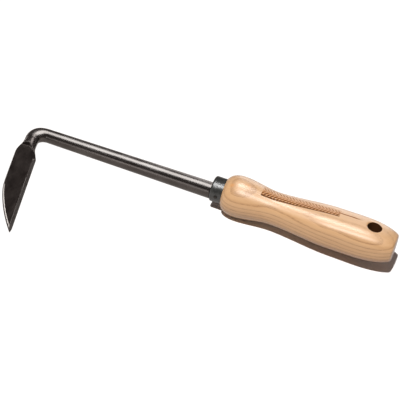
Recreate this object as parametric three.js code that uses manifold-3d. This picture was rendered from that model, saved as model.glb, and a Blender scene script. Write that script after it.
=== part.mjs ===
// Short-handled pointed hand hoe: an ash handle, a capped ferrule and its pin, a round steel shank bent back at
// its nose, and a forged knife-shaped blade on the end of the bend.
//
// Tool frame, in millimetres: +X runs along the handle to its butt, X = 0 is the front face of the ferrule, and
// +Z is the axis of the hanging hole. The leg with the blade points to -Y.
// The last group lays the tool down as it rests on a table, with the middle of its footprint at the origin.
import * as THREE from "three";
import { mergeVertices } from "three/addons/utils/BufferGeometryUtils.js";
import Module from "manifold-3d";

// Driving dimensions.
const HANDLE_END = 150; // X of the flat butt
const BULGE = { x: 22, radius: 16.6 }; // widest point of the knob behind the ferrule
const WAIST = { x: 52, radius: 13.1 };
const SWELL = { x: 100, radius: 16.5 }; // the palm swell, which runs on to the start of the butt's rounding
const BUTT_ROUND = { start: 120, reach: 32, drop: 9.2 }; // elliptical run-out, cut off by the flat butt
const FLATTENING = { from: 30, to: 90, thickness: 0.85, width: 1.01, exponent: 2.7 }; // round knob to flat grip
const HANGING_HOLE = { x: 131, radius: 5.6, chamfer: 0.6 };

const FERRULE_LENGTH = 10;
const FERRULE_RADIUS = 10.3;
const FERRULE_WALL = 1;
const FERRULE_CAP = 1.6; // thickness of the pierced front
const FERRULE_EDGE = 1.4; // radius of the drawn front edge

const SHANK_OFFSET = { y: -1.3, z: -1.9 }; // the shank's axis sits off the middle of the handle
const SHANK_RADIUS = 6.4; // at the ferrule
const NOSE_RADIUS = 5.3; // round the bend and at the blade's neck
const CORNER_X = -153.8; // where the axes of the shank and the leg cross
const BEND_RADIUS = 10.5; // of the centre line
const LEG_BACK_ANGLE = 12.8; // degrees that the leg leans back towards the handle
const LEG_DROOP = 2.6; // degrees that the leg falls below the plane square to the hanging hole
const TANG = { radius: 4, tipRadius: 2.4, end: 96 };

const PIN = { x: 5.5, radius: 0.9, headRadius: 1.5, headHeight: 0.5, depth: 3 };

const BLADE_END = 123.2; // along the leg, from the corner
const BLADE_HALF_THICKNESS = 2;
const BLADE_BACK = -9.4; // across the leg: the outer, curved side
const BLADE_EDGE = 8.8; // the inner, straight side
const BACK_FLARE_END = 30; // where the back has widened from the neck to its full width
const BACK_BREAK = { s: 72, slope: 0.16, radius: 150, blend: 4 }; // where the back turns in to the point
const EDGE_CORNER = { s: 35.5, slope: 0.29 }; // the inner shoulder runs out at this slope to this corner
const POINT_ROUND = { reach: 5, depth: 0.7 }; // of the inner edge at the point
const FACE_ARC = { s: 16.5, w: -1, curve: 0.265 }; // the flat face runs up into the neck as this parabola
const FACE_STEP = 1.1; // slope of the step from the flat face up to the round neck
const BACK_BEVEL = { from: 60, to: 74, slope: 1 }; // fades in along the back
const EDGE_BEVEL = { from: 32, to: 38, slope: 0.78 };
const UNGROUND = 8; // slope of a side that isn't ground

const GAP = 0.3; // between pieces that touch
const LAY_PITCH = 2.92; // degrees, nose down, of the tool as it lies

const RING_SIDES = 40;

const rad = THREE.MathUtils.degToRad;
const smooth = (x, from, to) => THREE.MathUtils.smoothstep(x, from, to);

// ---- mesh helpers ----

// A closed solid through rings of equal length, each an array of Vector3, with a flat cap at each end.
function loft(rings) {
  const sides = rings[0].length;
  const vertices = rings.flat();
  const faces = [];
  for (let i = 0; i + 1 < rings.length; i++) {
    for (let k = 0; k < sides; k++) {
      const a = i * sides + k;
      const b = i * sides + ((k + 1) % sides);
      faces.push(a, b, b + sides, a, b + sides, a + sides);
    }
  }
  const middle = (ring) => ring.reduce((sum, p) => sum.add(p), new THREE.Vector3()).divideScalar(sides);
  const first = vertices.push(middle(rings[0])) - 1;
  const last = vertices.push(middle(rings.at(-1))) - 1;
  const base = (rings.length - 1) * sides;
  for (let k = 0; k < sides; k++) {
    const next = (k + 1) % sides;
    faces.push(first, next, k);
    faces.push(last, base + k, base + next);
  }
  return new THREE.BufferGeometry().setFromPoints(vertices).setIndex(faces);
}

// A solid turned about an axis along X through (y, z), from [x, radius] pairs that run from axis to axis.
function turned(profile, { y = 0, z = 0 } = {}, sides = RING_SIDES) {
  const points = profile.map(([x, radius]) => new THREE.Vector2(radius, x));
  const solid = new THREE.LatheGeometry(points, sides);
  return solid.rotateZ(-Math.PI / 2).translate(0, y, z);
}

const wasm = await Module();
wasm.setup();

function toSolid(geometry) {
  const bare = geometry.clone();
  bare.deleteAttribute("normal");
  bare.deleteAttribute("uv");
  const merged = mergeVertices(bare, 1e-4);
  const vertProperties = new Float32Array(merged.attributes.position.array);
  const triVerts = new Uint32Array(merged.index.array);
  return new wasm.Manifold(new wasm.Mesh({ numProp: 3, vertProperties, triVerts }));
}

function cut(geometry, ...tools) {
  const solid = tools.reduce((body, tool) => body.subtract(toSolid(tool)), toSolid(geometry));
  const mesh = solid.getMesh();
  return new THREE.BufferGeometry()
    .setAttribute("position", new THREE.BufferAttribute(mesh.vertProperties, mesh.numProp))
    .setIndex(new THREE.BufferAttribute(mesh.triVerts, 1));
}

function piece(name, geometry, material) {
  const shaded = geometry.toNonIndexed();
  shaded.computeVertexNormals();
  const mesh = new THREE.Mesh(shaded, new THREE.MeshStandardMaterial(material));
  mesh.name = name;
  return mesh;
}

// A curve through [x, value] pairs that is level at each of them.
function levelled(pairs, x) {
  const next = pairs.findIndex(([at]) => at >= x);
  if (next <= 0) return next ? pairs.at(-1)[1] : pairs[0][1];
  const [x0, y0] = pairs[next - 1];
  const [x1, y1] = pairs[next];
  return THREE.MathUtils.lerp(y0, y1, smooth(x, x0, x1));
}

// ---- handle ----

const SHOULDER_X = FERRULE_LENGTH + GAP;
const TENON_RADIUS = FERRULE_RADIUS - FERRULE_WALL - GAP;

function gripRadius(x) {
  if (x < BULGE.x) {
    const shoulder = FERRULE_RADIUS + 0.3;
    const t = (BULGE.x - x) / (BULGE.x - SHOULDER_X);
    return shoulder + (BULGE.radius - shoulder) * Math.sqrt(1 - t * t);
  }
  const waisted = levelled(
    [
      [BULGE.x, BULGE.radius],
      [WAIST.x, WAIST.radius],
      [SWELL.x, SWELL.radius],
    ],
    x,
  );
  const t = Math.max(0, x - BUTT_ROUND.start) / BUTT_ROUND.reach;
  return waisted - BUTT_ROUND.drop * (1 - Math.sqrt(1 - t * t));
}

function gripRing(x, radius = gripRadius(x)) {
  const flat = smooth(x, FLATTENING.from, FLATTENING.to);
  const halfWidth = radius * THREE.MathUtils.lerp(1, FLATTENING.width, flat);
  const halfThickness = radius * THREE.MathUtils.lerp(1, FLATTENING.thickness, flat);
  const power = 2 / THREE.MathUtils.lerp(2, FLATTENING.exponent, flat);
  return Array.from({ length: RING_SIDES }, (_, k) => {
    const angle = (2 * Math.PI * k) / RING_SIDES;
    const c = Math.cos(angle);
    const s = Math.sin(angle);
    const y = halfWidth * Math.sign(c) * Math.abs(c) ** power;
    const z = halfThickness * Math.sign(s) * Math.abs(s) ** power;
    return new THREE.Vector3(x, y, z);
  });
}

function handle() {
  const rings = [gripRing(FERRULE_CAP + GAP, TENON_RADIUS), gripRing(SHOULDER_X, TENON_RADIUS)];
  const shoulderSteps = 7;
  for (let i = 0; i <= shoulderSteps; i++) {
    const t = Math.cos((Math.PI / 2) * (i / shoulderSteps));
    rings.push(gripRing(BULGE.x - (BULGE.x - SHOULDER_X) * t));
  }
  const gripSteps = 26;
  for (let i = 1; i <= gripSteps; i++) {
    rings.push(gripRing(THREE.MathUtils.lerp(BULGE.x, BUTT_ROUND.start + 2, i / gripSteps)));
  }
  const buttSteps = 8;
  for (let i = 1; i <= buttSteps; i++) {
    const share = Math.sin((Math.PI / 2) * (i / buttSteps));
    rings.push(gripRing(THREE.MathUtils.lerp(BUTT_ROUND.start + 2, HANDLE_END, share)));
  }
  const bore = turned(
    [
      [-1, 0],
      [-1, TANG.radius + GAP],
      [TANG.end + GAP, TANG.tipRadius + GAP],
      [TANG.end + GAP, 0],
    ],
    SHANK_OFFSET,
    24,
  );
  const reach = 20;
  const face = gripRadius(HANGING_HOLE.x) * FLATTENING.thickness;
  const { radius, chamfer } = HANGING_HOLE;
  const flare = radius + chamfer + reach - face;
  const hole = turned(
    [
      [-reach, 0],
      [-reach, flare],
      [chamfer - face, radius],
      [face - chamfer, radius],
      [reach, flare],
      [reach, 0],
    ],
    {},
    36,
  );
  hole.rotateY(-Math.PI / 2).translate(HANGING_HOLE.x, 0, 0);
  return cut(loft(rings), bore, hole, pinHole());
}

// ---- ferrule and its pin ----

// A solid turned about the pin's axis, from [radius, height] pairs; height 0 is the skin of the ferrule.
function onPinAxis(profile, sides) {
  const points = profile.map(([radius, height]) => new THREE.Vector2(radius, height));
  const solid = new THREE.LatheGeometry(points, sides);
  return solid.rotateX(Math.PI).translate(PIN.x, -FERRULE_RADIUS, 0);
}

function pinHole() {
  const radius = PIN.radius + GAP;
  return onPinAxis(
    [
      [0, -PIN.depth - GAP],
      [radius, -PIN.depth - GAP],
      [radius, 2],
      [0, 2],
    ],
    16,
  );
}

function ferrulePin() {
  const rest = 0.12 + GAP; // clears the curve of the ferrule under the head
  const domeSteps = 4;
  const dome = Array.from({ length: domeSteps + 1 }, (_, i) => {
    const angle = (Math.PI / 2) * (i / domeSteps);
    return [PIN.headRadius * Math.cos(angle), rest + PIN.headHeight * Math.sin(angle)];
  });
  dome[domeSteps][0] = 0;
  return onPinAxis([[0, -PIN.depth], [PIN.radius, -PIN.depth], [PIN.radius, rest], ...dome], 20);
}

function ferrule() {
  const edgeSteps = 6;
  const edge = Array.from({ length: edgeSteps + 1 }, (_, i) => {
    const angle = (Math.PI / 2) * (i / edgeSteps);
    return [
      FERRULE_EDGE * (1 - Math.cos(angle)),
      FERRULE_RADIUS - FERRULE_EDGE * (1 - Math.sin(angle)),
    ];
  });
  const inside = FERRULE_RADIUS - FERRULE_WALL;
  const outline = [
    [0, 0],
    ...edge,
    [FERRULE_LENGTH, FERRULE_RADIUS],
    [FERRULE_LENGTH, inside],
    [FERRULE_CAP, inside],
    [FERRULE_CAP, 0],
  ];
  const cup = turned(outline, {}, 48);
  const tangRadius = TANG.radius + GAP;
  const tangHole = turned([[-1, 0], [-1, tangRadius], [4, tangRadius], [4, 0]], SHANK_OFFSET, 24);
  return cut(cup, tangHole, pinHole());
}

// ---- shank ----

// The shank and the leg lie in one plane: X along the shank, -Y down the leg.
const turn = rad(90 + LEG_BACK_ANGLE);
const bendTangent = BEND_RADIUS * Math.tan(turn / 2); // from the corner to each end of the bend

function crossRing(x, y, heading, radius, sides = 32) {
  return Array.from({ length: sides }, (_, k) => {
    const angle = (2 * Math.PI * k) / sides;
    const across = radius * Math.cos(angle);
    const left = x - across * Math.sin(heading);
    return new THREE.Vector3(left, y + across * Math.cos(heading), radius * Math.sin(angle));
  });
}

function shank() {
  const straight = Math.PI; // heading: the path runs from the tang's tip to -X
  const bendStart = CORNER_X + bendTangent;
  const rings = [
    crossRing(TANG.end, 0, straight, TANG.tipRadius),
    crossRing(-GAP, 0, straight, TANG.radius),
    crossRing(-GAP, 0, straight, SHANK_RADIUS - 0.3),
  ];
  const rodSteps = 6;
  for (let i = 0; i <= rodSteps; i++) {
    const x = THREE.MathUtils.lerp(-GAP - 0.3, bendStart, i / rodSteps);
    rings.push(crossRing(x, 0, straight, THREE.MathUtils.lerp(SHANK_RADIUS, NOSE_RADIUS, i / rodSteps)));
  }
  const bendSteps = 14;
  for (let i = 1; i <= bendSteps; i++) {
    const angle = turn * (i / bendSteps);
    const x = bendStart - BEND_RADIUS * Math.sin(angle);
    const y = -BEND_RADIUS * (1 - Math.cos(angle));
    rings.push(crossRing(x, y, straight + angle, NOSE_RADIUS));
  }
  return loft(rings);
}

// ---- blade ----

// Blade frame: s runs down the leg from the corner, w across it towards the handle, and z square to its face.
const NECK_S = bendTangent + GAP;

function backEdge(s) {
  const past = s - BACK_BREAK.s;
  const eased = (past + Math.hypot(past, BACK_BREAK.blend)) / 2;
  const flared = THREE.MathUtils.lerp(-NOSE_RADIUS, BLADE_BACK, smooth(s, NECK_S, BACK_FLARE_END));
  return flared + BACK_BREAK.slope * eased + Math.max(0, past) ** 2 / (2 * BACK_BREAK.radius);
}

function frontEdge(s) {
  const shoulder = Math.max(NOSE_RADIUS - 0.2, BLADE_EDGE - EDGE_CORNER.slope * (EDGE_CORNER.s - s));
  const point = Math.max(0, s - BLADE_END + POINT_ROUND.reach) / POINT_ROUND.reach;
  return Math.min(shoulder, BLADE_EDGE) - POINT_ROUND.depth * point * point;
}

// Half thickness of the blade at (s, w): the round neck, cut down to the flat face and ground at the edges.
function halfThickness(s, w) {
  const back = backEdge(s);
  const front = frontEdge(s);
  const half = (front - back) / 2;
  const across = THREE.MathUtils.clamp((w - back) / half - 1, -1, 1);
  const round = NOSE_RADIUS * Math.sqrt(1 - across * across);
  const faceStart = FACE_ARC.s + FACE_ARC.curve * (w - FACE_ARC.w) ** 2;
  const face = BLADE_HALF_THICKNESS + FACE_STEP * Math.max(0, faceStart - s);
  const ground = ({ from, to, slope }) => THREE.MathUtils.lerp(UNGROUND, slope, smooth(s, from, to));
  return Math.min(round, face, (w - back) * ground(BACK_BEVEL), (front - w) * ground(EDGE_BEVEL));
}

function blade() {
  const columns = 14;
  const stations = [];
  for (let s = NECK_S; s < EDGE_BEVEL.to; s += 1.75) stations.push(s);
  for (let s = EDGE_BEVEL.to + 1; s < BACK_BREAK.s; s += 8) stations.push(s);
  for (let s = BACK_BREAK.s; s < BLADE_END - 2; s += 4) stations.push(s);
  stations.push(BLADE_END - 1.2, BLADE_END);
  const rings = stations.map((s) => {
    const back = backEdge(s);
    const front = frontEdge(s);
    const across = (j) => (back + front) / 2 - ((front - back) / 2) * Math.cos((Math.PI * j) / columns);
    const ring = [];
    for (let j = 0; j <= columns; j++) {
      const w = across(j);
      ring.push(new THREE.Vector3(s, w, halfThickness(s, w)));
    }
    for (let j = columns - 1; j > 0; j--) {
      const w = across(j);
      ring.push(new THREE.Vector3(s, w, -halfThickness(s, w)));
    }
    return ring;
  });
  return loft(rings.map((ring) => ring.reverse()));
}

// ---- assembly ----

const ash = { color: 0xd9ab78, roughness: 0.45, metalness: 0 };
const blackLacquer = { color: 0x1c1c1b, roughness: 0.35, metalness: 0.4 };
const darkSteel = { color: 0x6b6460, roughness: 0.3, metalness: 1 };

const leg = new THREE.Group();
leg.position.set(CORNER_X, 0, 0);
leg.rotation.z = rad(LEG_BACK_ANGLE - 90);
leg.add(piece("blade", blade(), darkSteel));

const forging = new THREE.Group();
forging.position.set(0, SHANK_OFFSET.y, SHANK_OFFSET.z);
forging.rotation.x = rad(LEG_DROOP);
forging.add(piece("shank", shank(), darkSteel), leg);

const tool = new THREE.Group();
tool.rotation.y = rad(-LAY_PITCH);
tool.add(
  piece("handle", handle(), ash),
  piece("ferrule", ferrule(), blackLacquer),
  piece("ferrule_pin", ferrulePin(), darkSteel),
  forging,
);

// The origin is the middle of the footprint, on the table.
const lying = new THREE.Group();
lying.add(tool);
const box = new THREE.Box3().setFromObject(lying, true);
const middle = box.getCenter(new THREE.Vector3());
lying.position.set(-middle.x, -middle.y, -box.min.z);

const handHoe = new THREE.Group();
handHoe.add(lying);

export default handHoe;
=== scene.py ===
"""The looks of a short-handled pointed hand hoe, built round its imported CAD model.

Lengths are millimetres until a mesh is made, and every shape is drawn in one of three frames:
  tool frame   +X to the butt, X = 0 at the ferrule's front face, +Z the axis of the hanging hole
  bar frame    the shank's axis along X, the leg turned off in its XY plane
  blade frame  X down the leg from the corner of the bend, Y across it to the handle, Z square to its face
"""

import math

import bmesh
import bpy
import numpy as np
from mathutils import Matrix, Vector


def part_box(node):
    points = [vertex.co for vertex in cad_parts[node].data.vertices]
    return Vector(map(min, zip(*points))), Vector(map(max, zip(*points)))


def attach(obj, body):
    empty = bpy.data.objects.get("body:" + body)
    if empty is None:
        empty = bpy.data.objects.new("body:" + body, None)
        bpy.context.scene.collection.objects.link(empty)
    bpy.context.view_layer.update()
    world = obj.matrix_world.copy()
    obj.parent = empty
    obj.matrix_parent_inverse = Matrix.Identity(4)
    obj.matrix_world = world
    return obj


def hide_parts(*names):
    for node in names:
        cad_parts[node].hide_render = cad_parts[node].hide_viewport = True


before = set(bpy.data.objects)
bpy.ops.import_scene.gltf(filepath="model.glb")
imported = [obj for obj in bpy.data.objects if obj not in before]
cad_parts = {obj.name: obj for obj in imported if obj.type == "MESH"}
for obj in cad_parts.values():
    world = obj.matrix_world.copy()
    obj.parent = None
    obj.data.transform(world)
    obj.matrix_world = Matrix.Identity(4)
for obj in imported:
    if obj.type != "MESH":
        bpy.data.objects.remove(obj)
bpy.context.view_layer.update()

MM = 0.001

# ---------------------------------------------------------------- driving dimensions

HANDLE_END = 150.0
BULGE_X, BULGE_R = 22.0, 16.6
WAIST_X, WAIST_R = 52.0, 13.1
SWELL_X, SWELL_R = 100.0, 16.5
BUTT_START, BUTT_REACH, BUTT_DROP = 120.0, 32.0, 9.2
FLAT_FROM, FLAT_TO = 30.0, 90.0
FLAT_THICKNESS, FLAT_WIDTH, FLAT_EXPONENT = 0.85, 1.01, 2.7
HOLE_X, HOLE_R, HOLE_ROUND = 131.0, 5.6, 0.7

FERRULE_LENGTH, FERRULE_R, FERRULE_WALL, FERRULE_CAP = 10.0, 10.3, 1.0, 1.6
SHANK_Y, SHANK_Z = -1.3, -1.9
SHANK_R, NOSE_R = 6.68, 5.58  # 0.28 more than the CAD's
CORNER_X, BEND_R = -153.8, 10.5
BEND_UPSET = 0.6  # how far the metal swells on the outside of the bend
LEG_BACK, LEG_DROOP, LAY_PITCH = (math.radians(a) for a in (12.8, 2.6, 2.92))
TANG_R, TANG_TIP_R, TANG_END = 4.0, 2.4, 96.0
PIN_X, PIN_HEAD_R, PIN_HEAD_H, PIN_R, PIN_DEPTH = 5.5, 1.5, 0.5, 0.9, 3.0

BLADE_END, BLADE_HALF = 123.2, 2.0
BLADE_BACK, BLADE_EDGE = -9.4, 8.8  # across the leg, from its axis
NECK_END, NECK_TAPER = 21.5, 0.09
FLARE_END = 30.0  # where the back edge is at its widest
SWEEP_START, SWEEP_SLOPE, SWEEP_R = 72.0, 0.16, 150.0  # the back edge's turn towards the point
SHOULDER_END, SHOULDER_SLOPE = 35.5, 0.29  # of the front edge
POINT_LENGTH, POINT_DROP = 5.0, 0.7
FACE_START, FACE_SLANT = 21.0, 0.66  # where the flat face begins, and how it slants across the leg
STEP_SLOPE = 2.4  # of the wall between the face and the neck
EDGE_HALF, BLUNT_SLOPE = 0.12, 8.0  # an edge's own thickness, and how its side rises where it isn't ground
FRONT_SLOPE, BACK_EDGE_SLOPE, BACK_SLOPE, BACK_RISE = 0.78, 1.9, 0.6, 0.975  # the ground bevels

GAP = 0.3  # between pieces that meet
FLOOR_Z = -0.3

SHOULDER_X = FERRULE_LENGTH + GAP
TURN = math.pi / 2 + LEG_BACK
BEND_TANGENT = BEND_R * math.tan(TURN / 2)
BEND_START = CORNER_X + BEND_TANGENT
NECK_S = BEND_TANGENT + GAP

# ---------------------------------------------------------------- frames

low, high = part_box("ferrule")
lay = Matrix.Rotation(-LAY_PITCH, 4, "Y")
ferrule_middle = lay @ Vector((FERRULE_LENGTH / 2 * MM, 0, 0))
TOOL = Matrix.Translation((low + high) / 2 - ferrule_middle) @ lay
BAR = TOOL @ Matrix.Translation((0, SHANK_Y * MM, SHANK_Z * MM)) @ Matrix.Rotation(LEG_DROOP, 4, "X")
BLADE = BAR @ Matrix.Translation((CORNER_X * MM, 0, 0)) @ Matrix.Rotation(LEG_BACK - math.pi / 2, 4, "Z")


# ---------------------------------------------------------------- small maths


def smooth(x, start, end):
    """0 before start, 1 after end, and a smooth step between."""
    t = np.clip((np.asarray(x, float) - start) / (end - start), 0, 1)
    return t * t * (3 - 2 * t)


def blend(a, b, t):
    """a at t = 0 and b at t = 1."""
    return a + (b - a) * t


def soft_min(a, b, radius):
    """The lower of a and b, with the crease between them rounded off over about radius."""
    h = np.clip(0.5 + 0.5 * (b - a) / radius, 0, 1)
    return blend(b, a, h) - radius * h * (1 - h)


def signed_power(x, power):
    """The power of x's size, with x's own sign."""
    return np.sign(x) * np.abs(x) ** power


# ---------------------------------------------------------------- mesh helpers


def shade(mesh, crease_degrees):
    """Smooth shading, with edges sharper than the crease angle kept sharp."""
    bm = bmesh.new()
    bm.from_mesh(mesh)
    bmesh.ops.recalc_face_normals(bm, faces=bm.faces)
    limit = math.radians(crease_degrees)
    for face in bm.faces:
        face.smooth = True
    for edge in bm.edges:
        edge.smooth = len(edge.link_faces) == 2 and edge.calc_face_angle(0) < limit
    bm.to_mesh(mesh)
    bm.free()


def piece(name, vertices, faces, matrix, crease=35):
    """An object from vertices in millimetres in the frame given by matrix."""
    mesh = bpy.data.meshes.new(name)
    mesh.from_pydata([tuple(v) for v in np.asarray(vertices) * MM], [], faces)
    mesh.validate()
    shade(mesh, crease)
    made = bpy.data.objects.new(name, mesh)
    bpy.context.scene.collection.objects.link(made)
    made.matrix_world = matrix
    return made


def loft(rings, cap_rings=3):
    """Vertices and faces of a closed skin through rings of equal length, its ends filled by smaller rings."""
    rings = [np.asarray(r, float) for r in rings]

    def end_rings(ring):
        middle = ring.mean(0)
        return [blend(middle, ring, share) for share in np.linspace(0, 1, cap_rings + 2)[1:-1]]

    rings = end_rings(rings[0]) + rings + end_rings(rings[-1])[::-1]
    sides = len(rings[0])
    vertices = np.concatenate(rings)
    faces = []
    for i in range(len(rings) - 1):
        for k in range(sides):
            a, b = i * sides + k, i * sides + (k + 1) % sides
            faces.append((a, b, b + sides, a + sides))
    last = (len(rings) - 1) * sides
    vertices = np.concatenate([vertices, [rings[0].mean(0), rings[-1].mean(0)]])
    first_middle, last_middle = len(vertices) - 2, len(vertices) - 1
    for k in range(sides):
        after = (k + 1) % sides
        faces.append((first_middle, after, k))
        faces.append((last_middle, last + k, last + after))
    return vertices, faces


def round_rings(profile, sides, y=0.0, z=0.0):
    """Rings about an axis along X through (y, z), from (x, radius) pairs."""
    angles = np.linspace(0, 2 * math.pi, sides, endpoint=False)
    return [
        np.stack([np.full(sides, x), y + r * np.cos(angles), z + r * np.sin(angles)], 1)
        for x, r in profile
    ]


def quarter(steps):
    """Angles from 0 to a right angle."""
    return np.linspace(0, math.pi / 2, steps)


def cut_away(body, *tools):
    """Cuts each tool from body with an exact boolean, applies it and removes the tool."""
    for tool in tools:
        modifier = body.modifiers.new("cut", "BOOLEAN")
        modifier.operation = "DIFFERENCE"
        modifier.solver = "EXACT"
        modifier.object = tool
        bpy.context.view_layer.update()
        depsgraph = bpy.context.evaluated_depsgraph_get()
        result = bpy.data.meshes.new_from_object(body.evaluated_get(depsgraph))
        body.modifiers.clear()
        body.data = result
        bpy.data.objects.remove(tool)
    shade(body.data, 35)
    return body


# ---------------------------------------------------------------- camera

CAMERA_AZIMUTH, CAMERA_ELEVATION, CAMERA_ROLL = (math.radians(a) for a in (11.619, 38.271, 13.584))
CAMERA_DISTANCE = 1.170
CAMERA_LENS = 132.2
CAMERA_TARGET = TOOL @ Vector((-8.66 * MM, 0, -15.71 * MM))


def camera():
    """Makes the scene's camera from its bearings round the tool."""
    data = bpy.data.cameras.new("camera")
    data.sensor_width = 36
    data.lens = CAMERA_LENS
    data.clip_start, data.clip_end = 0.05, 20
    az, el = CAMERA_AZIMUTH, CAMERA_ELEVATION
    back = Vector((math.sin(az) * math.cos(el), -math.cos(az) * math.cos(el), math.sin(el)))
    level = Vector((math.cos(az), math.sin(az), 0))
    upright = back.cross(level)
    right = level * math.cos(CAMERA_ROLL) + upright * math.sin(CAMERA_ROLL)
    up = back.cross(right)
    made = bpy.data.objects.new("camera", data)
    bpy.context.scene.collection.objects.link(made)
    turned = Matrix((right, up, back)).transposed().to_4x4()
    made.matrix_world = Matrix.Translation(CAMERA_TARGET + back * CAMERA_DISTANCE) @ turned
    bpy.context.scene.camera = made


# ---------------------------------------------------------------- shader helpers


class Shader:
    """A material's node tree, with short calls for the nodes that these materials use."""

    def __init__(self, name):
        self.material = bpy.data.materials.new(name)
        self.material.use_nodes = True
        self.tree = self.material.node_tree
        self.surface = self.tree.nodes["Principled BSDF"]

    def node(self, kind, inputs=None, **settings):
        made = self.tree.nodes.new(kind)
        for key, value in settings.items():
            setattr(made, key, value)
        for key, value in (inputs or {}).items():
            self.feed(made.inputs[key], value)
        return made

    def feed(self, socket, value):
        if isinstance(value, bpy.types.NodeSocket):
            self.tree.links.new(value, socket)
        else:
            socket.default_value = value

    def math(self, operation, a, b=0.0, clamp=False):
        return self.node("ShaderNodeMath", {0: a, 1: b}, operation=operation, use_clamp=clamp).outputs[0]

    def vector(self, operation, a, b):
        return self.node("ShaderNodeVectorMath", {0: a, 1: b}, operation=operation).outputs[0]

    def parts(self, vector):
        return self.node("ShaderNodeSeparateXYZ", {0: vector}).outputs[:3]

    def join(self, x, y, z):
        return self.node("ShaderNodeCombineXYZ", {0: x, 1: y, 2: z}).outputs[0]

    def noise(self, vector, scale=1.0, detail=2.0, roughness=0.5):
        inputs = {"Vector": vector, "Scale": scale, "Detail": detail, "Roughness": roughness}
        return self.node("ShaderNodeTexNoise", inputs).outputs[0]

    def ramp(self, value, *stops):
        """value mapped through (position, level) stops, to one number."""
        made = self.node("ShaderNodeValToRGB", {0: value})
        made.color_ramp.interpolation = "EASE"
        elements = made.color_ramp.elements
        while len(elements) < len(stops):
            elements.new(0.5)
        for element, (position, level) in zip(elements, stops):
            element.position = position
            element.color = (level, level, level, 1)
        return made.outputs[0]

    def span(self, value, low_in, high_in, low_out=0.0, high_out=1.0, smooth_step=True):
        """value mapped from one range to another and held at its ends."""
        made = self.node("ShaderNodeMapRange", {0: value, 1: low_in, 2: high_in, 3: low_out, 4: high_out})
        made.interpolation_type = "SMOOTHSTEP" if smooth_step else "LINEAR"
        return made.outputs[0]

    def mix(self, share, a, b):
        """a to b by share. The node's colour sockets are 6 and 7, and its colour output is 2."""
        made = self.node("ShaderNodeMix", data_type="RGBA")
        self.feed(made.inputs[0], share)
        for socket, value in ((made.inputs[6], a), (made.inputs[7], b)):
            is_plain = not isinstance(value, bpy.types.NodeSocket)
            self.feed(socket, (*value, 1) if is_plain else value)
        return made.outputs[2]

    def bump(self, height, distance_mm, strength=1.0, normal=None):
        inputs = {"Height": height, "Distance": distance_mm * MM, "Strength": strength}
        if normal is not None:
            inputs["Normal"] = normal
        return self.node("ShaderNodeBump", inputs).outputs[0]

    def object_mm(self):
        """The point in the piece's own frame, in millimetres."""
        return self.scaled(self.node("ShaderNodeTexCoord").outputs["Object"], 1 / MM)

    def distance(self, a, b):
        """How far the point (a, b) is from the origin."""
        return self.math("SQRT", self.math("ADD", self.math("POWER", a, 2.0), self.math("POWER", b, 2.0)))

    def length(self, vector):
        made = self.node("ShaderNodeVectorMath", {0: vector}, operation="LENGTH")
        return made.outputs["Value"]

    def scaled(self, vector, factor):
        made = self.node("ShaderNodeVectorMath", {0: vector}, operation="SCALE")
        made.inputs["Scale"].default_value = factor
        return made.outputs[0]

    def attribute(self, name, output="Vector"):
        return self.node("ShaderNodeAttribute", attribute_name=name).outputs[output]

    def set(self, **values):
        """Sets the surface's sockets: base_color becomes Base Color."""
        for key, value in values.items():
            socket = self.surface.inputs[key.replace("_", " ").title().replace("Ior", "IOR")]
            self.feed(socket, (*value, 1) if isinstance(value, tuple) and len(value) == 3 else value)
        return self.material


# ---------------------------------------------------------------- materials

RING_SPACING = 3.1  # growth layers of the ash, in mm
PITH = (22.0, -58.0)  # y and z of the middle of the tree, below and behind the handle
LATE_WOOD, EARLY_WOOD = (0.60, 0.360, 0.180), (0.27, 0.125, 0.048)
UNDERSIDE_BROWN, TAN_STREAK, PALE_FIBRE = (0.36, 0.155, 0.062), (0.47, 0.245, 0.105), (0.66, 0.43, 0.24)
PORE_BROWN, BLOT_ORANGE, STREAK_BROWN = (0.21, 0.09, 0.034), (0.60, 0.27, 0.08), (0.20, 0.066, 0.016)
# the first two are the ornament's burn; the third is painted shade inside the hanging hole
SCORCHED, BURNED, BORE_PAINTED_SHADE = (0.52, 0.205, 0.050), (0.070, 0.020, 0.004), (0.058, 0.022, 0.008)
BLOTS = ((16.5, -7.3, 2.6), (28.2, -4.0, 3.2))  # x, y and reach of two orange spots on the knob

BAR_STEEL, BAR_STEEL_PALE, BAR_PIT = (0.098, 0.085, 0.079), (0.134, 0.119, 0.112), (0.070, 0.054, 0.045)
SCALE_DARK, SCALE_PALE, SCALE_SPECK = (0.037, 0.030, 0.0275), (0.053, 0.044, 0.040), (0.026, 0.022, 0.020)
NECK_STEEL, GROUND_STEEL = (0.116, 0.102, 0.096), (0.19, 0.175, 0.165)
LACQUER_DARK, LACQUER_PALE, RUBBED = (0.014, 0.015, 0.014), (0.026, 0.027, 0.025), (0.12, 0.11, 0.10)
PIN_DARK, PIN_PALE = (0.035, 0.032, 0.030), (0.075, 0.068, 0.062)
BOARD_SHADE, BOARD_LIGHT, BOARD_BOUNCE = (0.92, 0.91, 0.90), (0.95, 0.94, 0.93), (0.56, 0.535, 0.52)


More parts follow.
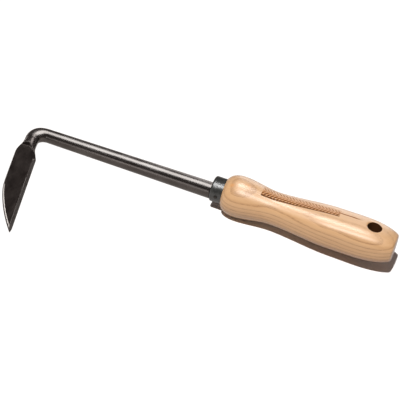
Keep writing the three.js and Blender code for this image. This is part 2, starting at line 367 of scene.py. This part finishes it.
def ash():
    """Pale ash under satin lacquer: porous growth rings, fibre streaks, pores, a burned-in ornament and
    painted shade in the hanging hole.
    """
    s = Shader("ash")
    point = s.object_mm()
    x, y, z = s.parts(point)
    slow = s.vector("MULTIPLY", point, (0.010, 0.045, 0.045))
    sway = s.math("SUBTRACT", s.noise(slow, 1.0, 1.0), 0.5)
    drift = s.math("SUBTRACT", s.noise(s.vector("MULTIPLY", point, (0.05, 0.2, 0.2)), 1.0, 2.0), 0.5)
    from_pith = s.distance(s.math("SUBTRACT", y, PITH[0]), s.math("SUBTRACT", z, PITH[1]))
    depth = s.math("ADD", from_pith, s.math("MULTIPLY", sway, 5.0))
    depth = s.math("ADD", depth, s.math("MULTIPLY", drift, 1.3))
    depth = s.math("ADD", depth, s.math("MULTIPLY", x, 0.008))
    layers = s.math("DIVIDE", depth, RING_SPACING)
    phase = s.math("FRACT", layers)
    pores_band = s.ramp(phase, (0.0, 1.0), (0.12, 0.8), (0.30, 0.16), (0.7, 0.0), (0.95, 0.1), (1.0, 1.0))

    fibre = s.noise(s.vector("MULTIPLY", point, (0.06, 2.2, 2.2)), 1.0, 3.0, 0.6)
    streak = s.noise(s.vector("MULTIPLY", point, (0.02, 0.5, 0.5)), 1.0, 2.0, 0.6)
    vessel_noise = s.noise(s.vector("MULTIPLY", point, (0.16, 4.2, 4.2)), 1.0, 2.0, 0.65)
    vessels = s.math("MULTIPLY", s.span(vessel_noise, 0.55, 0.66), s.span(pores_band, 0.15, 0.8))

    each_year = {"W": s.math("FLOOR", layers)}
    year = s.node("ShaderNodeTexWhiteNoise", each_year, noise_dimensions="1D").outputs["Value"]
    band = s.math("MULTIPLY", pores_band, s.span(fibre, 0.25, 0.7, 0.35, 1.0))
    band = s.math("MULTIPLY", band, s.span(year, 0.0, 1.0, 0.55, 1.15, smooth_step=False))
    crown = s.math("MULTIPLY", s.span(z, 7.0, 11.0), s.span(x, 45.0, 60.0, 0.35, 0.75))
    band = s.math("MULTIPLY", band, s.math("SUBTRACT", 1.0, crown))
    colour = s.mix(s.math("MULTIPLY", band, 0.85), LATE_WOOD, EARLY_WOOD)
    # darker brown over the lower front of the grip, fading in between x = 55 and 95 mm, at most half strength
    underside_dark = s.math("MULTIPLY", s.span(depth, 60.0, 68.0, 1.0, 0.0), s.span(x, 55.0, 95.0, 0.0, 0.5))
    colour = s.mix(underside_dark, colour, UNDERSIDE_BROWN)
    colour = s.mix(s.span(streak, 0.35, 0.75, 0.0, 0.35), colour, TAN_STREAK)
    colour = s.mix(s.span(fibre, 0.5, 0.8, 0.0, 0.22), colour, PALE_FIBRE)
    colour = s.mix(s.math("MULTIPLY", vessels, 0.6), colour, PORE_BROWN)
    for blot_x, blot_y, reach in BLOTS:
        away = s.vector("SUBTRACT", point, (blot_x, blot_y, 15.0))
        away = s.length(s.vector("MULTIPLY", away, (0.8, 1, 0.5)))
        colour = s.mix(s.span(away, 0.0, reach, 0.8, 0.0), colour, BLOT_ORANGE)
    stain = mineral_streak(s, x, y, z, drift)
    colour = s.mix(stain, colour, STREAK_BROWN)
    burned, scorched = ornament(s, x, y, z, vessel_noise)
    colour = s.mix(scorched, colour, SCORCHED)
    colour = s.mix(burned, colour, BURNED)
    # painted shade: the inside of the hanging hole is darkened to a deep brown and left without lacquer
    bore = s.span(s.distance(s.math("SUBTRACT", x, HOLE_X), y), HOLE_R + 0.1, HOLE_R + 0.5, 1.0, 0.0)
    colour = s.mix(bore, colour, BORE_PAINTED_SHADE)

    grain = s.math("SUBTRACT", s.math("MULTIPLY", fibre, 0.3), vessels)
    sunk = s.math("SUBTRACT", grain, s.math("MULTIPLY", burned, 3.0))
    fine = s.bump(sunk, 0.05, 0.5)
    rough = s.math("ADD", s.span(fibre, 0.3, 0.7, 0.40, 0.50), s.math("MULTIPLY", burned, 0.25))
    lacquer_wave = s.noise(s.vector("MULTIPLY", point, (0.15, 0.3, 0.3)), 1.0, 2.0)
    coat_normal = s.bump(lacquer_wave, 0.12, 0.35, s.bump(vessels, 0.02, 0.25))
    bare = s.math("MAXIMUM", burned, bore)
    bare = s.math("MAXIMUM", bare, s.math("MULTIPLY", stain, 0.6))
    return s.set(
        base_color=colour,
        roughness=rough,
        normal=fine,
        specular_ior_level=s.span(bare, 0.0, 0.6, 0.5, 0.05),
        coat_weight=s.span(bare, 0.0, 0.5, 0.8, 0.0),
        coat_roughness=0.31,
        coat_ior=1.5,
        coat_normal=coat_normal,
    )


def mineral_streak(s, x, y, z, drift):
    """A thin brown line in the grain of the top face, between the ornament and the hole."""
    middle = s.math("ADD", 2.6, s.math("MULTIPLY", drift, 1.5))
    off = s.math("ABSOLUTE", s.math("SUBTRACT", y, middle))
    line = s.span(off, 0.25, 0.9, 1.0, 0.0)
    ends = s.math("MULTIPLY", s.span(x, 99.0, 104.0), s.span(x, 113.0, 123.0, 1.0, 0.0))
    return s.math("MULTIPLY", s.math("MULTIPLY", line, ends), s.span(z, 4.0, 8.0, 0.0, 0.95))


def ornament(s, x, y, z, patchy):
    """Masks of a burned-in wheat-ear border on the top of the grip: the burn, and the brown round it."""
    start, end = 39.5, 103.0
    along = s.span(x, start, end, smooth_step=False)
    middle = s.span(along, 0.0, 1.0, -0.2, 1.9, smooth_step=False)
    reach = s.span(along, 0.0, 1.0, 5.3, 3.7, smooth_step=False)
    across = s.math("SUBTRACT", y, middle)
    off = s.math("ABSOLUTE", across)
    share = s.math("DIVIDE", off, reach)
    pitch = 2.6
    slanted = s.math("FRACT", s.math("DIVIDE", s.math("ADD", x, s.math("MULTIPLY", off, 0.8)), pitch))
    grain_of_wheat = s.math("ABSOLUTE", s.math("SUBTRACT", slanted, 0.5))
    strokes = s.span(grain_of_wheat, 0.26, 0.34, 1.0, 0.0)
    strokes = s.math("MULTIPLY", strokes, s.span(share, 0.12, 0.2))
    strokes = s.math("MULTIPLY", strokes, s.span(share, 0.80, 0.88, 1.0, 0.0))
    stem = s.span(off, 0.22, 0.42, 1.0, 0.0)
    rail = s.span(s.math("ABSOLUTE", s.math("SUBTRACT", share, 1.0)), 0.09, 0.16, 1.0, 0.0)
    near_rail = s.math("MULTIPLY", rail, s.span(across, -1.0, 1.0, 1.0, 0.35))
    drawn = s.math("MAXIMUM", s.math("MAXIMUM", strokes, stem), near_rail)
    inside = s.math("MULTIPLY", s.span(x, start, start + 0.8), s.span(x, end - 0.8, end, 1.0, 0.0))
    inside = s.math("MULTIPLY", inside, s.span(z, 5.0, 7.0))
    pressed = s.span(patchy, 0.35, 0.65, 0.35, 1.0)
    heavier = s.span(share, 0.0, 1.0, 0.55, 1.0)
    near_side = s.span(across, -2.0, 3.0, 1.0, 0.5)
    weight = s.math("MULTIPLY", s.math("MULTIPLY", pressed, heavier), near_side)
    weight = s.math("MULTIPLY", weight, 1.4)
    burned = s.math("MULTIPLY", s.math("MULTIPLY", drawn, inside), weight, clamp=True)
    halo = s.math("MULTIPLY", s.span(share, 0.85, 1.15, 1.0, 0.0), inside)
    scorched = s.math("MULTIPLY", halo, s.math("MULTIPLY", near_side, 0.75))
    return burned, scorched


def bar_steel():
    """Dark drawn steel: lines along the bar, soft blotches of oxide and a smooth oiled sheen."""
    s = Shader("bar_steel")
    bar = s.attribute("straightened")
    lines = s.noise(s.vector("MULTIPLY", bar, (0.015, 0.9, 0.9)), 1.0, 1.0)
    blotch = s.noise(s.vector("MULTIPLY", bar, (0.06, 0.12, 0.12)), 1.0, 3.0)
    pits = s.noise(s.scaled(bar, 0.7), 1.0, 1.0)
    colour = s.mix(s.span(blotch, 0.3, 0.7), BAR_STEEL, BAR_STEEL_PALE)
    colour = s.mix(s.span(pits, 0.62, 0.75, 0.0, 0.35), colour, BAR_PIT)
    rough = s.math("ADD", s.span(blotch, 0.3, 0.7, 0.24, 0.30), s.span(lines, 0.3, 0.7, -0.02, 0.04))
    drawn = s.bump(lines, 0.004, 0.20, s.bump(blotch, 0.08, 0.2))
    return s.set(base_color=colour, metallic=1.0, roughness=rough, normal=drawn)


def blade_steel():
    """Dark forged steel: satin scale on the flat with ground bevels, and bar steel at the neck."""
    s = Shader("blade_steel")
    point = s.object_mm()
    along, across = s.parts(point)[:2]
    neck = s.span(s.attribute("neck", "Fac"), 0.2, 0.8)
    bevel = s.span(s.attribute("ground", "Fac"), 0.35, 0.65)
    cloud = s.noise(s.vector("MULTIPLY", point, (0.07, 0.14, 0.14)), 1.0, 4.0, 0.6)
    speck = s.noise(point, 1.6, 2.0)
    turned = s.math("ADD", s.math("MULTIPLY", along, 0.55), across)
    stroke = s.join(s.math("MULTIPLY", turned, 1.5), s.math("MULTIPLY", across, 0.15), 0.0)
    grind = s.noise(stroke, 1.0, 2.0, 0.7)
    crossed = s.math("SUBTRACT", s.math("MULTIPLY", along, 0.8), across)
    stroke = s.join(s.math("MULTIPLY", crossed, 1.3), s.math("MULTIPLY", along, 0.12), 4.0)
    cross_grind = s.noise(stroke, 1.0, 2.0, 0.7)
    colour = s.mix(s.span(cloud, 0.3, 0.7), SCALE_DARK, SCALE_PALE)
    colour = s.mix(s.span(speck, 0.6, 0.75, 0.0, 0.4), colour, SCALE_SPECK)
    colour = s.mix(neck, colour, NECK_STEEL)
    colour = s.mix(bevel, colour, GROUND_STEEL)
    rough = s.math("ADD", s.span(cloud, 0.3, 0.7, 0.32, 0.42), s.span(grind, 0.35, 0.65, -0.04, 0.05))
    rough = s.math("SUBTRACT", rough, s.math("MULTIPLY", neck, 0.10))
    waves = s.bump(cloud, 0.25, 0.3)
    marks = s.math("ADD", grind, s.math("MULTIPLY", cross_grind, 0.6))
    grinding = s.bump(s.math("MULTIPLY", marks, s.math("SUBTRACT", 1.0, neck)), 0.016, 0.5, waves)
    return s.set(base_color=colour, metallic=1.0, roughness=rough, normal=grinding)


def black_lacquer():
    """Semi-gloss black lacquer on a drawn cap: orange peel, faint dents and rubbed edges."""
    s = Shader("black_lacquer")
    point = s.object_mm()
    peel = s.noise(point, 1.1, 2.0)
    dents = s.noise(point, 0.28, 1.0)
    rub_noise = s.noise(point, 0.9, 4.0, 0.7)
    edge = s.attribute("rim", "Fac")
    rubbed = s.math("MULTIPLY", s.span(rub_noise, 0.5, 0.62), s.span(edge, 0.2, 1.0))
    colour = s.mix(s.span(dents, 0.3, 0.7), LACQUER_DARK, LACQUER_PALE)
    colour = s.mix(s.math("MULTIPLY", rubbed, 0.6), colour, RUBBED)
    rough = s.math("ADD", s.span(peel, 0.3, 0.7, 0.27, 0.36), s.math("MULTIPLY", rubbed, 0.08))
    surface = s.bump(peel, 0.14, 0.7, s.bump(dents, 0.5, 0.45))
    return s.set(base_color=colour, roughness=rough, normal=surface, specular_ior_level=1.0)


def pin_steel():
    """Darkened steel of the ferrule's pin."""
    s = Shader("pin_steel")
    point = s.object_mm()
    mottle = s.noise(point, 2.2, 3.0)
    colour = s.mix(s.span(mottle, 0.35, 0.65), PIN_DARK, PIN_PALE)
    rough = s.span(mottle, 0.3, 0.7, 0.32, 0.46)
    return s.set(base_color=colour, metallic=0.9, roughness=rough, normal=s.bump(mottle, 0.05, 0.5))


def floor_white():
    """A matt white board with a faint tooth, which bounces less light than it shows."""
    s = Shader("floor_white")
    tooth = s.noise(s.object_mm(), 0.5, 3.0)
    seen = s.mix(s.span(tooth, 0.3, 0.7), BOARD_SHADE, BOARD_LIGHT)
    camera_ray = s.node("ShaderNodeLightPath").outputs["Is Camera Ray"]
    colour = s.mix(camera_ray, BOARD_BOUNCE, seen)
    surface = s.bump(tooth, 0.05, 0.2)
    return s.set(base_color=colour, roughness=0.7, specular_ior_level=0.0, normal=surface)


# ---------------------------------------------------------------- handle


def grip_radius(x):
    """Half size of the grip at x, as a round of that size would have."""
    shoulder = FERRULE_R + 0.3
    t = np.clip((BULGE_X - x) / (BULGE_X - SHOULDER_X), 0, 1)
    knob = shoulder + (BULGE_R - shoulder) * np.sqrt(1 - t * t)
    to_waist = blend(BULGE_R, WAIST_R, smooth(x, BULGE_X, WAIST_X))
    waisted = np.where(x < WAIST_X, to_waist, blend(WAIST_R, SWELL_R, smooth(x, WAIST_X, SWELL_X)))
    t = np.clip((x - BUTT_START) / BUTT_REACH, 0, 1)
    return np.where(x < BULGE_X, knob, waisted - BUTT_DROP * (1 - np.sqrt(1 - t * t)))


def grip_ring(x, radius, sides=160):
    """One section of the grip: round in front, and a flattened superellipse from the waist on."""
    flat = smooth(x, FLAT_FROM, FLAT_TO)
    power = 2 / blend(2, FLAT_EXPONENT, flat)
    angles = np.linspace(0, 2 * math.pi, sides, endpoint=False)
    y = radius * blend(1, FLAT_WIDTH, flat) * signed_power(np.cos(angles), power)
    z = radius * blend(1, FLAT_THICKNESS, flat) * signed_power(np.sin(angles), power)
    return np.stack([np.full(sides, float(x)), y, z], 1)


def handle():
    """The grip with its tenon, the blind bore for the tang and the hanging hole."""
    tenon = FERRULE_R - FERRULE_WALL - GAP
    rings = [grip_ring(FERRULE_CAP + GAP, tenon), grip_ring(SHOULDER_X, tenon)]
    break_r = 0.4
    for a in quarter(5):
        x = SHOULDER_X + break_r * (1 - math.cos(a))
        rings.append(grip_ring(x, grip_radius(SHOULDER_X + break_r) - break_r * (1 - math.sin(a))))
    reach = BULGE_X - SHOULDER_X - break_r
    for a in quarter(30)[1:]:
        x = BULGE_X - reach * math.cos(a)
        rings.append(grip_ring(x, float(grip_radius(x))))
    step = 0.7
    for x in np.arange(BULGE_X + step, BUTT_START, step):
        rings.append(grip_ring(x, float(grip_radius(x))))
    edge_r = 1.8
    for x in np.linspace(BUTT_START, HANDLE_END - edge_r, 48):
        rings.append(grip_ring(x, float(grip_radius(x))))
    side = float(grip_radius(HANDLE_END - edge_r))
    lean = 0.5
    for a in quarter(9)[1:]:
        x = HANDLE_END - edge_r + edge_r * math.sin(a)
        rings.append(grip_ring(x, side - edge_r * (1 - math.cos(a)) - lean * math.sin(a)))
    vertices, faces = loft(rings, cap_rings=8)
    body = piece("handle_wood", vertices, faces, TOOL)
    return cut_away(body, tang_bore(), hole_cutter())


def tang_bore():
    """The socket for the tang, 0.3 mm larger than it."""
    profile = [(-1, TANG_R + GAP), (TANG_END + GAP, TANG_TIP_R + GAP)]
    vertices, faces = loft(round_rings(profile, 48, SHANK_Y, SHANK_Z), cap_rings=0)
    return piece("tang_bore", vertices, faces, TOOL)


def hole_cutter():
    """The hanging hole, with rounded rims that run out on the two faces of the grip."""
    face = float(grip_radius(HOLE_X)) * FLAT_THICKNESS + 0.02
    last = math.radians(70)
    rim = [
        (face - HOLE_ROUND * (1 - math.sin(a)), HOLE_R + HOLE_ROUND * (1 - math.cos(a)))
        for a in np.linspace(0, last, 8)
    ]
    z_end, r_end = rim[-1]
    rise = 6.0
    half = [*rim, (z_end + rise, r_end + rise * math.tan(last))]
    profile = [(-z, r) for z, r in reversed(half)] + half
    vertices, faces = loft(round_rings(profile, 96), cap_rings=0)
    upright = np.stack([HOLE_X - vertices[:, 2], vertices[:, 1], vertices[:, 0]], 1)
    return piece("hole_cutter", upright, faces, TOOL)


# ---------------------------------------------------------------- ferrule and pin


def ferrule():
    """A drawn cap: rounded front edge, a faint waist and a lip turned slightly in at the back."""
    edge_r, lip_r = 1.5, 0.35
    waist_from, waist_to, waist_depth = 2, 9, 0.06
    outer = [
        (edge_r * (1 - math.cos(a)), FERRULE_R - edge_r * (1 - math.sin(a))) for a in quarter(10)
    ]
    body = [
        (x, FERRULE_R - waist_depth * math.sin(math.pi * (x - waist_from) / (waist_to - waist_from)) ** 2)
        for x in np.linspace(waist_from, waist_to, 15)
    ]
    lip = [
        (FERRULE_LENGTH - lip_r + lip_r * math.sin(a), FERRULE_R - lip_r * (1 - math.cos(a)))
        for a in quarter(5)
    ]
    inside_r = FERRULE_R - FERRULE_WALL
    inside = [(FERRULE_LENGTH, inside_r), (FERRULE_CAP + 0.5, inside_r), (FERRULE_CAP, inside_r - 0.5)]
    profile = outer + body + lip + inside
    vertices, faces = loft(round_rings(profile, 128), cap_rings=4)
    cap = piece("ferrule_cap", vertices, faces, TOOL)
    hole = round_rings([(-1, TANG_R + GAP), (4, TANG_R + GAP)], 48, SHANK_Y, SHANK_Z)
    bore = piece("ferrule_bore", *loft(hole, cap_rings=0), TOOL)
    cut_away(cap, bore)
    worn = [max(smooth(v.co.x / MM, 1.6, 0.0), smooth(v.co.x / MM, 9.4, 10.0)) for v in cap.data.vertices]
    store(cap, "rim", worn)
    return cap


def ferrule_pin():
    """A small brad through the side of the ferrule, its head domed and hammered flat at the middle."""
    rest = 0.12
    dome = [
        (rest + PIN_HEAD_H * math.sin(a), PIN_HEAD_R * (0.35 + 0.65 * math.cos(a))) for a in quarter(8)
    ]
    under = rest - 0.02
    shaft = [(-PIN_DEPTH, PIN_R * 0.6), (-PIN_DEPTH + 0.5, PIN_R), (under, PIN_R), (under, PIN_HEAD_R)]
    profile = shaft + dome
    vertices, faces = loft(round_rings(profile, 40), cap_rings=2)
    outward = np.stack([PIN_X + vertices[:, 1], -FERRULE_R - vertices[:, 0], vertices[:, 2]], 1)
    return piece("ferrule_brad", outward, faces, TOOL)


# ---------------------------------------------------------------- shank


def store(made, name, values, kind="FLOAT", field="value"):
    """Keeps one value for each vertex, for the materials to read."""
    attribute = made.data.attributes.new(name, kind, "POINT")
    attribute.data.foreach_set(field, np.asarray(values, np.float32).ravel())


def shank_stations():
    """(x, y, heading, radius, upset) of each ring, from the tang's tip to the neck."""
    straight = [(TANG_END, TANG_TIP_R * 0.6), (TANG_END - 1, TANG_TIP_R), (-GAP, TANG_R)]
    edge_r = 0.45
    for a in quarter(6):
        straight.append((-GAP - edge_r * (1 - math.cos(a)), SHANK_R - edge_r * (1 - math.sin(a))))
    for x in np.linspace(-2, BEND_START, 120):
        straight.append((x, blend(SHANK_R, NOSE_R, (x + 1) / (BEND_START + 1))))
    stations = [(x, 0, math.pi, radius, 0) for x, radius in straight]
    for angle in np.linspace(0, TURN, 64)[1:]:
        upset = BEND_UPSET * math.sin(math.pi * angle / TURN) ** 2
        x = BEND_START - (BEND_R + upset) * math.sin(angle)
        y = -BEND_R + (BEND_R + upset) * math.cos(angle)
        stations.append((x, y, math.pi + angle, NOSE_R, upset))
    x, y = stations[-1][:2]
    heading = math.pi + TURN
    stations.append((x + GAP * math.cos(heading), y + GAP * math.sin(heading), heading, NOSE_R, 0))
    return stations


def shank():
    """The tang, the bar and its bend, with each vertex's place on the straight bar stored for the steel."""
    sides = 96
    angles = np.linspace(0, 2 * math.pi, sides, endpoint=False)
    rings, straightened = [], []
    length, last = 0.0, None
    for x, y, heading, radius, upset in shank_stations():
        length += 0 if last is None else math.hypot(x - last[0], y - last[1])
        last = (x, y)
        across = (radius + upset) * np.cos(angles)
        above = (radius + upset * (angles < math.pi)) * np.sin(angles)
        rings.append(np.stack([x - across * math.sin(heading), y + across * math.cos(heading), above], 1))
        straightened.append(np.stack([np.full(sides, length), across, above], 1))
    vertices, faces = loft(rings, cap_rings=0)
    bar = piece("shank_bar", vertices, faces, BAR, crease=50)
    ends = [straightened[0].mean(0), straightened[-1].mean(0)]
    store(bar, "straightened", np.concatenate([*straightened, ends]), "FLOAT_VECTOR", "vector")
    return bar


# ---------------------------------------------------------------- blade


def back_edge(s):
    """Across the leg at s: the outer, curved side."""
    past = s - SWEEP_START
    eased = (past + np.hypot(past, 4.0)) / 2
    flared = blend(-NOSE_R, BLADE_BACK, smooth(s, NECK_S, FLARE_END))
    return flared + SWEEP_SLOPE * eased + np.maximum(0, past) ** 2 / (2 * SWEEP_R)


def front_edge(s):
    """Across the leg at s: the inner, straight side, with its shoulder and the rounding of the point."""
    shoulder = BLADE_EDGE - SHOULDER_SLOPE * (SHOULDER_END - s)
    neck = NOSE_R - 0.2 * smooth(s, NECK_S, NECK_S + 4)
    joined = -soft_min(-neck, -shoulder, 0.8)
    point = np.maximum(0, s - BLADE_END + POINT_LENGTH) / POINT_LENGTH
    return soft_min(joined, BLADE_EDGE, 0.25) - POINT_DROP * point * point


def blade_section(s, w):
    """Half thickness at (s, w), and whether the point is ground bright or on the round neck."""
    back, front = back_edge(s), front_edge(s)
    half = (front - back) / 2
    across = np.clip((w - back) / half - 1, -1, 1)
    drawn_down = 1 - NECK_TAPER * smooth(s, NECK_S + 0.5, NECK_END)
    round_bar = NOSE_R * drawn_down * np.sqrt(1 - across * across)
    past = w - 0.2
    step = FACE_START + FACE_SLANT * (past + np.hypot(past, 0.8)) - s
    face = BLADE_HALF + STEP_SLOPE * (step + np.hypot(step, 0.15)) / 2
    thick = soft_min(round_bar, face, 0.35)
    inward = w - back
    ground_back = soft_min(BACK_EDGE_SLOPE * inward, BACK_SLOPE * inward + BACK_RISE, 0.08)
    back_bevel = blend(BLUNT_SLOPE * inward, ground_back, smooth(s, 60, 74)) + EDGE_HALF
    front_bevel = (front - w) * blend(BLUNT_SLOPE, FRONT_SLOPE, smooth(s, 32, 38)) + EDGE_HALF
    bevel = np.minimum(back_bevel, front_bevel)
    is_ground = (bevel < thick) & (s > 33) & ((inward > 0.72) | (back_bevel > front_bevel))
    is_ground |= (np.abs(face - round_bar) < 0.7) & (w < 1.5) & (step > -0.3)
    is_neck = (face > round_bar) & (step > -0.3)
    return np.maximum(0.0, soft_min(thick, bevel, 0.16)), is_ground, is_neck


def blade():
    """The forging: a round neck beaten out into a flat leaf with two ground bevels and a point."""
    stations = np.concatenate(
        [np.arange(NECK_S, 38, 0.3), np.arange(38, 70, 0.8), np.arange(70, BLADE_END - 2, 0.5)]
    )
    stations = np.append(stations, BLADE_END - 2 * np.cos(quarter(12)))
    columns = 80
    turn = np.cos(np.linspace(0, math.pi, columns + 1))
    rings, ground, neck = [], [], []
    for s in stations:
        back, front = float(back_edge(s)), float(front_edge(s))
        w = (back + front) / 2 - (front - back) / 2 * turn
        thickness, is_ground, is_neck = blade_section(np.full_like(w, s), w)
        top = np.stack([np.full_like(w, s), w, thickness], 1)
        bottom = np.stack([np.full_like(w, s), w, -thickness], 1)[::-1]
        rings.append(np.concatenate([top, bottom[1:-1]]))
        for found, kept in ((is_ground, ground), (is_neck, neck)):
            kept.append(np.concatenate([found, found[::-1][1:-1]]))
    vertices, faces = loft(rings, cap_rings=0)
    made = piece("blade_forging", vertices, faces, BLADE, crease=180)
    store(made, "ground", np.concatenate([*ground, [0, 1]]))
    store(made, "neck", np.concatenate([*neck, [1, 0]]))
    return made


# ---------------------------------------------------------------- the object


def finish_piece(made, material, slot, *nodes):
    """Gives a mesh its material and puts it in the place of the CAD's nodes."""
    made.data.materials.clear()
    made.data.materials.append(material)
    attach(made, "root")
    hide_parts(*nodes)


camera()

wood = handle()
finish_piece(wood, ash(), "ash_wood", "handle")
cap = ferrule()
finish_piece(cap, black_lacquer(), "black_lacquer", "ferrule")
brad = ferrule_pin()
finish_piece(brad, pin_steel(), "pin_steel", "ferrule_pin")
bar = shank()
finish_piece(bar, bar_steel(), "shank_steel", "shank")
leaf = blade()
finish_piece(leaf, blade_steel(), "blade_steel", "blade")

for steel in (bar, leaf):
    steel.visible_shadow = False  # only the handle and the ferrule cast one on the board


# ---------------------------------------------------------------- stage and light

KEY = (-0.119, -0.442, 0.889)  # towards the key light


def floor():
    """A level board just below the tool."""
    size = 4.0
    mesh = bpy.data.meshes.new("floor")
    corners = [(-size, -size, 0), (size, -size, 0), (size, size, 0), (-size, size, 0)]
    mesh.from_pydata(corners, [], [(0, 1, 2, 3)])
    made = bpy.data.objects.new("floor", mesh)
    bpy.context.scene.collection.objects.link(made)
    made.location.z = FLOOR_Z * MM
    mesh.materials.append(floor_white())


def lamp(name, kind, centre, direction, energy):
    """A lamp at centre that shines against direction."""
    data = bpy.data.lights.new(name, kind)
    data.energy = energy
    made = bpy.data.objects.new(name, data)
    bpy.context.scene.collection.objects.link(made)
    made.location = centre
    made.rotation_euler = Vector(direction).to_track_quat("Z", "Y").to_euler()
    return made


def panel(name, shows_on, centre, aim, width, height, energy):
    """A soft box that only shows as a reflection in the pieces named, so it casts no second shadow."""
    made = lamp(name, "AREA", centre, Vector(centre) - Vector(aim), energy)
    made.data.shape = "RECTANGLE"
    made.data.size, made.data.size_y = width, height
    made.visible_diffuse = False
    receivers = bpy.data.collections.new(name + "_receivers")
    for lit in shows_on:
        receivers.objects.link(lit)
    made.light_linking.receiver_collection = receivers
    return made


def lights(wood, cap, bar, leaf, brad):
    """A soft key light, a dim world, and panels that each give one piece its highlights."""
    towards = Vector(KEY).normalized()
    key = lamp("key", "SUN", towards * 2.0, towards, 3.9)
    key.data.angle = math.radians(1.6)
    key.visible_glossy = False
    above = ((0.015, 0.13, 1.13), (0.015, 0, 0), 1.47, 0.84)  # centre, aim, width and height
    overhead = panel("overhead", [bar], *above, 30.0)
    overhead.data.color = (0.94, 1.0, 1.02)
    panel("blade_overhead", [leaf, brad], *above, 13.0)
    panel("sheen", [cap], (-0.10, -0.24, 0.96), (0, 0, 0), 0.6, 0.50, 11.0)
    panel("far_sheen", [wood], (-0.09, 0.21, 0.96), (0.08, 0, 0), 0.38, 0.40, 6.0)
    panel("near_sheen", [wood], (0.04, -0.44, 0.96), (0.04, 0, 0), 0.42, 0.34, 7.0)
    panel("front", [bar], (-0.33, -1.0, 0.18), (-0.33, 0, 0.18), 0.36, 0.36, 0.80)
    panel("corner", [bar, leaf], (0.03, 0.74, 0.95), (-0.14, 0, 0.03), 0.46, 0.50, 2.2)
    panel("back", [wood, bar], (0.0, 1.0, 0.46), (0.0, 0, 0.46), 0.6, 0.88, 3.6)
    panel("left", [leaf], (-1.0, 0.19, 0.16), (0, 0.10, 0.0), 0.58, 0.5, 7.2)
    world = bpy.data.worlds.new("studio")
    world.use_nodes = True
    background = world.node_tree.nodes["Background"]
    background.inputs["Color"].default_value = (0.130, 0.109, 0.104, 1)
    background.inputs["Strength"].default_value = 1.0
    bpy.context.scene.world = world


floor()
lights(wood, cap, bar, leaf, brad)
bpy.context.scene.view_settings.view_transform = "Standard"
